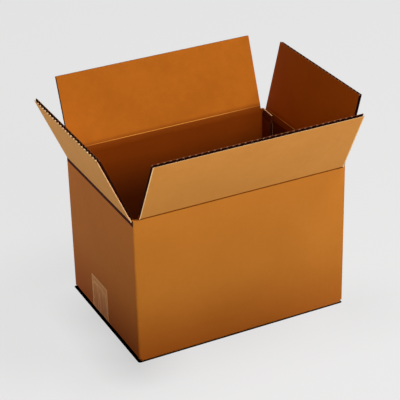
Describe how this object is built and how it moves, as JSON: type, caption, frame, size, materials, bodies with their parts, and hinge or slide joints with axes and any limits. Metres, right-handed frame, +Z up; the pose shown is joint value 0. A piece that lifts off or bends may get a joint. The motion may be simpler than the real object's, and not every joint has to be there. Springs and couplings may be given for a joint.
{
  "type": "open cardboard box",
  "caption": "Open corrugated shipping box with its top flaps leaning outwards and its bottom closed by tape.",
  "frame": {"origin": "on the ground under the middle of the box body, on the underside of the bottom tape", "axes": "+Z up, +X to the right along the front panel, +Y from the front panel to the back panel"},
  "size_m": [0.3493, 0.28, 0.2895],
  "materials": {
    "kraft_board": "matte",
    "packing_tape": "satin"
  },
  "bodies": {
    "box": {"carton": "kraft_board", "bottom_tape": "packing_tape"},
    "flap_front": {"flap_front": "kraft_board"},
    "flap_back": {"flap_back": "kraft_board"},
    "flap_left": {"flap_left": "kraft_board"},
    "flap_right": {"flap_right": "kraft_board"}
  },
  "joints": [
    {"name": "front_flap_crease", "type": "hinge", "parent": "box", "child": "flap_front", "pos_m": [0, -0.1012, 0.196], "axis": [1, 0, 0], "range_deg": [-117, 153]},
    {"name": "back_flap_crease", "type": "hinge", "parent": "box", "child": "flap_back", "pos_m": [0, 0.1012, 0.196], "axis": [-1, 0, 0], "range_deg": [-110, 160]},
    {"name": "left_flap_crease", "type": "hinge", "parent": "box", "child": "flap_left", "pos_m": [-0.1442, 0, 0.1916], "axis": [0, -1, 0], "range_deg": [-113.5, 156.5]},
    {"name": "right_flap_crease", "type": "hinge", "parent": "box", "child": "flap_right", "pos_m": [0.1442, 0, 0.1916], "axis": [0, 1, 0], "range_deg": [-103.5, 166.5]}
  ]
}
